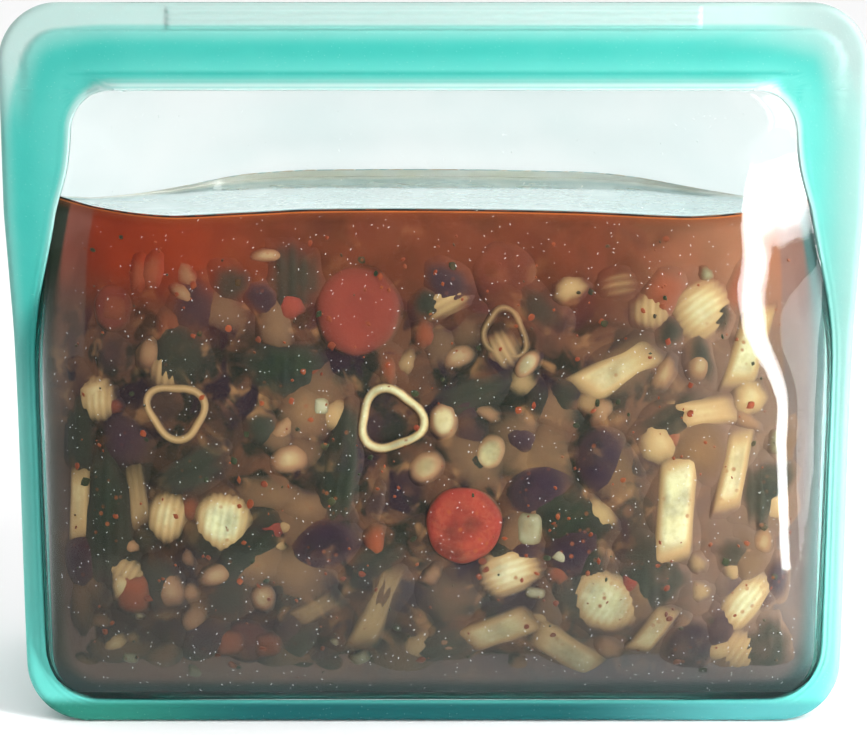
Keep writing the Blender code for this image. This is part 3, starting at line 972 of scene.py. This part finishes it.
def food_look(name, near, other, halo, halo_depth=0.0016, lost_depth=0.0031, pattern=None):
    """Food of two mingled colours that fades with depth through a halo's colour into the liquid's."""
    look = Look(name, Roughness=0.5, IOR=1.25)
    colour = look.over(srgb(*near), look.noise(220, 4), 0.3, 0.7, srgb(*other))
    if pattern:
        colour = pattern(look, colour)
    rust = look.times(look.spots(380, 0.30), look.between(look.noise(90, 2), 0.44, 0.56))
    colour = look.mix(look.times(rust, 0.8), colour, srgb(168, 84, 40))
    murk = murk_colour(look)
    colour = look.over(colour, look.noise(120, 4), 0.38, 0.72, murk, 0.6)
    depth = look.attribute("depth")
    colour = look.over(colour, depth, 0.0002, halo_depth, srgb(*halo))
    colour = look.over(colour, depth, halo_depth * 0.6, lost_depth, murk)
    look.set(look.shader, Base_Color=veiled(look, colour))
    look.bump(look.noise(500, 3), 0.0005, 0.2)
    return look.material


def in_metres(*rows):
    """Rows of x, z, a turn in degrees, then depth and sizes. Their lengths come in millimetres."""
    return [(x / 1000, z / 1000, turn, *(at / 1000 for at in sizes)) for x, z, turn, *sizes in rows]


# Where the food lies on the front, as the photograph shows it: x, z, turn, depth and the shape's sizes.
# A tube's sizes are its length and radius, a hoop's and a carrot's end with a thickness, and the rest
# have their half extents.
TUBES = in_metres(
    (62.5, 59.0, 4, 0.0, 27.0, 4.4), (78.0, 69.0, 12, 0.2, 21.5, 3.4), (48.5, 94.5, 62, 0.0, 24.0, 4.4),
    (82.5, 99.0, 22, 0.4, 20.0, 4.0), (70.5, 83.5, 84, 0.8, 19.0, 4.0), (-13.8, 34.5, 22, 0.6, 29.0, 4.0),
    (17.0, 27.0, 68, 0.6, 20.0, 4.0), (34.5, 20.5, -52, 0.2, 23.0, 4.4), (-77.0, 64.0, -8, 1.2, 23.0, 3.6),
    (-93.0, 59.0, 2, 1.0, 21.0, 3.2), (57.0, 27.0, 34, 0.4, 16.0, 3.0), (-30.0, 33.0, 60, 1.4, 17.0, 3.4),
)
SHELLS = in_metres(
    (-54.5, 56.0, 10, 0.0, 6.8, 7.8), (44.0, 35.0, 30, 0.0, 8.8, 8.2), (70.0, 108.5, 60, 0.6, 7.0, 9.0),
    (19.5, 43.0, 70, 0.4, 6.2, 9.0), (81.0, 34.5, 40, 0.4, 5.0, 9.8), (80.0, 20.0, 30, 1.2, 8.0, 8.8),
    (-69.0, 57.0, 12, 0.8, 5.6, 7.8), (3.0, 111.0, 62, 1.4, 4.6, 9.0), (-88.0, 86.0, 0, 1.0, 6.0, 7.0),
    (18.0, 99.0, -30, 1.6, 5.0, 7.0), (56.5, 108.5, 0, 1.4, 6.6, 6.0), (-80.0, 42.0, 30, 1.4, 7.0, 6.0),
    (-69.0, 94.5, 10, 1.6, 6.0, 8.0), (48.0, 115.0, 80, 2.2, 5.0, 8.0),
)
HOOPS = in_metres(
    (-11.0, 81.8, 0, 0.3, 7.8, 7.2, 1.6), (-66.5, 83.8, 200, 1.3, 7.4, 6.4, 1.8),
    (18.5, 103.0, 150, 1.9, 5.0, 6.0, 1.8),
)
CARROTS = in_metres(
    (7.8, 55.0, 0, 0.0, 10.4, 5.0), (-19.5, 108.5, 0, 1.5, 12.2, 5.0), (-48.0, 23.0, 0, 2.4, 8.0, 4.0),
    (18.0, 117.5, 0, 2.6, 9.0, 4.0), (-84.5, 108.0, 0, 2.2, 6.0, 4.0),
)
WHITE_BEANS = in_metres(
    (24.0, 95.5, 40, 0.2, 2.4, 4.2), (2.5, 81.5, 0, 0.0, 3.4, 4.4), (14.5, 73.5, 30, 0.0, 3.6, 4.8),
    (-2.0, 70.0, 60, 0.4, 3.6, 4.8), (-37.0, 72.0, 80, 0.8, 4.0, 5.6), (6.5, 97.5, 70, 1.0, 3.0, 5.0),
    (-44.0, 36.0, 0, 0.8, 3.4, 4.0), (-56.0, 42.0, 70, 1.0, 3.2, 5.2), (69.0, 95.0, 20, 1.0, 3.4, 4.0),
    (-74.0, 98.0, 10, 1.4, 3.6, 4.6), (86.0, 50.0, 0, 1.0, 3.0, 4.0), (-43.0, 122.0, 90, 1.0, 1.8, 5.0),
    (-62.0, 30.0, 40, 1.4, 3.6, 5.0), (26.0, 60.0, 10, 1.6, 3.4, 4.4),
)
KIDNEY_BEANS = in_metres(
    (-28.0, 50.0, 70, 0.0, 5.8, 8.8), (42.5, 72.0, 10, 0.0, 5.6, 7.8), (26.7, 64.5, 60, 0.2, 5.8, 8.5),
    (36.0, 49.0, 30, 0.2, 5.8, 8.0), (66.5, 21.5, 10, 0.0, 6.2, 8.0), (-59.0, 24.0, 50, 1.0, 6.0, 8.0),
    (-93.0, 44.0, 0, 0.8, 5.0, 8.0), (90.0, 40.0, 0, 1.2, 4.0, 7.0),
)
LEAVES = in_metres(
    (-38.5, 94.5, 0, 0.0, 10.0, 6.2), (-36.5, 116.5, 0, 1.4, 9.2, 11.0), (-24.0, 70.0, 8, 0.0, 4.6, 15.0),
    (35.0, 56.0, 30, 0.6, 12.0, 8.0), (57.0, 40.0, 0, 0.4, 8.5, 7.0), (-85.0, 56.0, 0, 0.4, 7.0, 18.0),
    (-93.0, 76.0, 0, 1.0, 5.0, 12.0), (85.0, 62.0, 0, 1.0, 6.0, 10.0), (-62.0, 69.0, 60, 1.0, 6.0, 11.0),
    (10.0, 88.0, 70, 1.2, 5.0, 13.0), (-48.0, 48.0, 50, 0.8, 6.0, 11.0), (2.0, 22.0, 70, 1.4, 7.0, 12.0),
    (62.0, 82.0, 60, 1.4, 6.0, 12.0), (88.0, 23.0, 0, 1.0, 6.0, 8.0), (-15.0, 46.0, 50, 1.4, 6.0, 12.0),
    (28.0, 86.0, 20, 1.6, 7.0, 6.0),
)
CUBES = in_metres(
    (24.7, 54.0, 4, 0.0, 3.2, 4.2), (26.2, 37.2, 10, 0.0, 2.4, 1.4), (-29.0, 85.0, 0, 0.2, 2.0, 2.2),
    (33.0, 47.0, 30, 0.4, 2.4, 2.2), (-62.0, 13.0, 30, 0.2, 2.6, 2.0), (-79.0, 18.0, 10, 0.4, 2.2, 1.8),
    (90.0, 75.0, 10, 0.6, 2.2, 3.0), (-19.0, 18.0, 60, 0.6, 2.0, 2.6),
)
ORANGE_BITS = in_metres(
    (-78.0, 37.0, 0, 1.0, 5.0, 5.6), (-53.0, 23.0, 0, 1.4, 4.8, 5.0), (-43.0, 22.0, 0, 1.6, 4.6, 5.0),
    (-84.0, 108.0, 0, 1.8, 5.0, 4.6), (-69.0, 104.0, 0, 2.0, 5.0, 5.6), (60.0, 113.0, 30, 1.4, 5.6, 6.0),
    (82.0, 113.0, 30, 1.2, 5.0, 6.0), (20.0, 112.0, 30, 2.4, 7.0, 5.0), (-56.0, 108.0, 30, 2.4, 8.0, 6.0),
    (-10.0, 96.0, 30, 2.4, 8.0, 5.0),
)


def carrot_rings(look, colour):
    """A darker skin, a paler ring inside it and a darker heart."""
    colour = look.over(colour, look.noise(420, 4, 2.0), 0.35, 0.65, srgb(190, 96, 68), 0.35)
    share = look.attribute("tint")
    colour = look.over(colour, share, 0.72, 0.82, srgb(146, 40, 34), 0.5)
    return look.over(colour, share, 0.50, 0.35, srgb(134, 46, 36), 0.45)


def pasta_grain(look, colour):
    """Fine yellower grains."""
    return look.over(colour, look.noise(700, 3), 0.4, 0.7, srgb(202, 184, 120), 0.3)


# The kinds of food: two colours against the wall, the halo's colour, and what differs from other food
KINDS = (
    ("pasta", (238, 230, 184), (224, 212, 162), (196, 156, 106), dict(pattern=pasta_grain)),
    ("white_beans", (214, 196, 148), (196, 170, 120), (160, 116, 82), {}),
    ("carrots", (162, 60, 44), (148, 52, 40), (136, 58, 44), dict(halo_depth=0.0022, pattern=carrot_rings)),
    ("kidney_beans", (54, 34, 48), (40, 26, 38), (68, 46, 48), dict(halo_depth=0.0020)),
    ("leaves", (36, 44, 34), (46, 54, 34), (56, 54, 42), dict(halo_depth=0.0020)),
    ("celery", (184, 174, 142), (164, 156, 122), (136, 122, 90), {}),
    # Painted glow: pale broth round the pasta, standing for light scattered from it
    ("broth_glow", (164, 122, 82), (144, 104, 66), (120, 88, 62), dict(halo_depth=0.0018, lost_depth=0.0034)),
    ("squash", (176, 84, 40), (158, 74, 38), (144, 72, 44), {}),
)


def lay_pasta(lay):
    """Tubes, shells seen from behind and shells seen from their open side, the first two in a paler broth
    that is a painted glow of light scattered from them.
    """
    for index, row in enumerate(TUBES):
        length, radius = row[4:]
        ribs = (0.00004, radius * 0.5)
        shape = cushion(radius * 1.35, length * 0.64, 10, 3.0, 0.4, ribs=ribs, sides=64, rings=16)
        lay("pasta", shape, row, lean=0.025 * (index % 3))
        lay("broth_glow", cushion(radius * 2.2, length * 0.75, 3, 1.6), row, under=GLOW_DEPTH)
    for index, row in enumerate(SHELLS):
        wide, tall = row[4:]
        shape = cushion(wide * 1.35, tall * 1.2, 2.2, 2.6, 0, 0.03, index, 0.0012, (0.00010, 0.0019), 48, 18)
        lay("pasta", shape, row)
        lay("broth_glow", cushion(wide * 2, tall * 1.8, 2, 1.6), row, under=GLOW_DEPTH)
    for row in HOOPS:
        lay("pasta", hoop(*row[4:]), row)


def lay_vegetables(lay):
    """Everything but the pasta, each kind from its own table."""
    for row in CARROTS:
        radius, thickness = row[4:]
        shape = slice_of(radius, thickness)
        lay("carrots", shape, row, tint=np.hypot(shape[0][:, RIGHT], shape[0][:, UP]) / radius)
    for name, rows, bend in (("white_beans", WHITE_BEANS, 0.0006), ("kidney_beans", KIDNEY_BEANS, 0.0016)):
        for index, row in enumerate(rows):
            wide, tall = row[4:]
            lay(name, cushion(wide * 1.35, tall * 1.3, 2.1, 2.4, 0, 0.02, index, bend), row)
    for index, row in enumerate(LEAVES):
        wide, tall = row[4:]
        shape = cushion(wide * 1.3, tall * 1.3, 2.1, 2.6, 0, 0.10, index * 1.7, 0, (0.0001, 0.003), 48, 12)
        lay("leaves", shape, row)
    for name, rows in (("celery", CUBES), ("squash", ORANGE_BITS)):
        for index, row in enumerate(rows):
            wide, tall = row[4:]
            lay(name, cushion(wide * 1.3, tall * 1.3, 3.6, 3.0, 0, 0.04, index), row)


def add_food():
    """The same food behind both walls, mirrored and a little deeper at the rear."""
    piles = {name: Pile(f"soup_{name}", food_look(name, *paints, **more)) for name, *paints, more in KINDS}
    for side, mirror, sink in ((-1, 1, 0.0), (1, -1, 0.0004)):

        def lay(name, shape, row, under=sink, **more):
            x, z, turn, depth = row[:4]
            piles[name].put(shape, side, mirror * x, z, mirror * turn, depth + under, **more)

        lay_pasta(lay)
        lay_vegetables(lay)
    fill_gaps(piles)
    for pile in piles.values():
        pile.build()


# The small pieces between the named ones: how many on each side, and their largest half extents
FILLING = (
    ("pasta", 40, 0.0062), ("white_beans", 30, 0.0054), ("leaves", 60, 0.0090), ("kidney_beans", 26, 0.0080),
    ("squash", 22, 0.0052), ("celery", 12, 0.0022), ("carrots", 8, 0.0066), ("broth_glow", 50, 0.0105),
)


def fill_gaps(piles):
    """Scatters smaller, hazier pieces between the named ones."""
    draw = random.Random(5)
    kept_clear = [(row[0], row[1], row[4] + 0.003) for row in CARROTS]
    kept_clear += [(row[0], row[1], row[4] * 0.45) for row in TUBES]
    kept_clear += [(row[0], row[1], row[4] * 1.4) for row in HOOPS]
    for side in (-1, 1):
        for name, count, largest in FILLING:
            for index in range(count):
                wide, tall = (largest * draw.uniform(0.5, 1.2) for _ in range(2))
                bend = draw.uniform(-0.3, 0.3) * wide
                seed = index * 1.3
                shape = cushion(wide * 1.25, tall * 1.25, 2.1, 2.2, 0, 0.08, seed, bend, sides=24, rings=8)
                x, z = draw.uniform(-0.093, 0.093), 0.012 + 0.106 * draw.random() ** 1.15
                turn, depth = draw.uniform(0, 180), draw.uniform(0.0010, 0.0022)
                if not any(math.hypot(x - left, z - low) < reach for left, low, reach in kept_clear):
                    piles[name].put(shape, side, x, z, turn, depth)


def add_flecks():
    """Herb and pepper flecks floating against the wall."""
    draw = random.Random(7)
    herbs = Pile("soup_herb_flecks", food_look("herb", (40, 50, 30), (62, 70, 38), (60, 58, 40)))
    pepper = Pile("soup_pepper_flecks", food_look("pepper", (160, 74, 34), (140, 56, 30), (140, 78, 48)))
    for side in (-1, 1):
        for pile, count, largest in ((herbs, 110, 0.0011), (pepper, 260, 0.0010)):
            for index in range(count):
                size = largest * (0.25 + 0.75 * draw.random() ** 2)
                shape = blob((size * (0.5 + draw.random()), 0.0002, size), 3, 7, 0.25, index)
                x, z = draw.uniform(-0.094, 0.094), draw.uniform(0.012, 0.127)
                pile.put(shape, side, x, z, draw.uniform(0, 180), draw.uniform(0, 0.0006))
    herbs.build()
    pepper.build()


FLECK_THICKNESS = 0.00004


def add_dust():
    """Tiny pale flecks caught on the clear walls."""
    draw = random.Random(11)
    look = Look("dust", Roughness=0.6)
    look.set(look.shader, Base_Color=look.mix(look.noise(900, 1), srgb(216, 222, 222), srgb(244, 248, 248)))
    points, faces = [], []
    for side in (-1, 1):
        for _ in range(1500):
            length, width = draw.uniform(0.00010, 0.00036), draw.uniform(0.00004, 0.00008)
            across, height = draw.uniform(-0.93, 0.93), draw.uniform(0.009, 0.158)
            if height > 0.130 and draw.random() < 0.7:
                continue
            turn = draw.uniform(0, math.pi)
            local, shape = blob((width, FLECK_THICKNESS, length), 2, 6, bend=draw.uniform(-1, 1) * width)
            half = window_half(height)
            along, upward = turned(local, turn)
            start = sum(len(part) for part in points)
            depth = local[:, DEEP] - FLECK_THICKNESS
            points.append(inside_wall(side, across + along / half, height + upward, depth))
            faces += [tuple(start + index for index in face) for face in shape]
    piece = new_object("dust_flecks", np.concatenate(points), faces)
    piece.data.materials.append(look.material)
    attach(piece, "bag_body")


# Stage, lights and camera

FLOOR_REACH = 4.0
CAMERA_DISTANCE = 0.8
CAMERA_ELEVATION = math.radians(14)
CAMERA_AIM = 0.090
SENSOR_WIDTH = 36.0
LENS = 123.9031
SHIFT_UP = -0.017301

# How the sky brightens from behind the camera to behind the bag: two directions and their strengths
SKY = (-0.7, 0.35, 0.42, 1.2)


def add_floor():
    """A plain floor, just below the bag."""
    size = FLOOR_REACH
    look = Look("pale_floor", Roughness=0.7)
    look.set(look.shader, Base_Color=look.mix(look.noise(3, 2), srgb(251, 251, 252), srgb(254, 254, 254)))
    corners = [(-size, -size, 0), (size, -size, 0), (size, size, 0), (-size, size, 0)]
    floor = new_object("floor", corners, [(0, 1, 2, 3)])
    floor.data.materials.append(look.material)
    floor.location.z = -0.0002


def add_light(name, azimuth, elevation, distance, size, power, target=(0, 0, 0.09)):
    """A soft box. Azimuth 0 is in front of the bag and 90 to its right, as the camera sees it."""
    light = bpy.data.lights.new(name, "AREA")
    light.shape = "RECTANGLE"
    light.size, light.size_y = size
    light.energy = power
    lamp = bpy.data.objects.new(name, light)
    bpy.context.scene.collection.objects.link(lamp)
    turn, rise = math.radians(azimuth), math.radians(elevation)
    offset = Vector((math.sin(turn) * math.cos(rise), -math.cos(turn) * math.cos(rise), math.sin(rise)))
    lamp.location = Vector(target) + offset * distance
    lamp.rotation_euler = (-offset).to_track_quat("-Z", "Y").to_euler()
    lamp.visible_camera = False
    return lamp


def light_stage():
    """A bright sky, two soft boxes that light the bag and two panels that only show as reflections."""
    world = bpy.data.worlds.new("studio")
    bpy.context.scene.world = world
    world.use_nodes = True
    tree = world.node_tree
    background = tree.nodes["Background"]
    place = tree.nodes.new("ShaderNodeTexCoord")
    parts = tree.nodes.new("ShaderNodeSeparateXYZ")
    tree.links.new(place.outputs["Generated"], parts.inputs["Vector"])
    ramp = tree.nodes.new("ShaderNodeMapRange")
    ramp.interpolation_type = "SMOOTHSTEP"
    for socket, value in zip(ramp.inputs[1:5], SKY):
        socket.default_value = value
    tree.links.new(parts.outputs["Y"], ramp.inputs[0])
    tree.links.new(ramp.outputs["Result"], background.inputs["Strength"])
    background.inputs["Color"].default_value = (1, 1, 1, 1)
    add_light("right_softbox", 52, 16, 0.85, (0.095, 0.95), 14.0)
    strip = add_light("strip_panel", 52, 16, 0.84, (0.14, 0.95), 16.0)
    side = add_light("side_panel", 80, 16, 0.84, (0.42, 0.90), 13.0)
    for panel in (strip, side):
        panel.visible_diffuse = False
        panel.visible_transmission = False
    add_light("top_softbox", -20, 72, 1.0, (0.9, 0.9), 1.5)


def add_camera():
    """A long lens from a little above, with the bag's height filling most of its picture."""
    data = bpy.data.cameras.new("camera")
    data.sensor_width = SENSOR_WIDTH
    data.lens = LENS
    data.shift_y = SHIFT_UP
    camera = bpy.data.objects.new("camera", data)
    bpy.context.scene.collection.objects.link(camera)
    back = CAMERA_DISTANCE * math.cos(CAMERA_ELEVATION)
    camera.location = (0, -back, CAMERA_AIM + CAMERA_DISTANCE * math.sin(CAMERA_ELEVATION))
    camera.rotation_euler = (math.pi / 2 - CAMERA_ELEVATION, 0, 0)
    bpy.context.scene.camera = camera


# The CAD's nodes that hold both halves of the frame together
SHARED_NODES = ("left_side_flange", "left_top_corner", "right_side_flange", "right_top_corner")


def main():
    add_camera()
    light_stage()
    add_floor()
    silicone, clear = frame_look(), window_look()
    for where, side in (("front", -1), ("rear", 1)):
        moulding = add_frame(where, side, silicone)
        if side < 0:
            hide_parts("front_rim", *SHARED_NODES)
        else:
            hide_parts("rear_rim")
        add_mouth(where, side, silicone)
        add_window(where, side, clear)
    add_gusset(gusset_look())
    add_soup((murk_look(), film_look()))
    add_food()
    add_flecks()
    add_dust()
    bpy.context.scene.view_settings.view_transform = "Standard"


main()
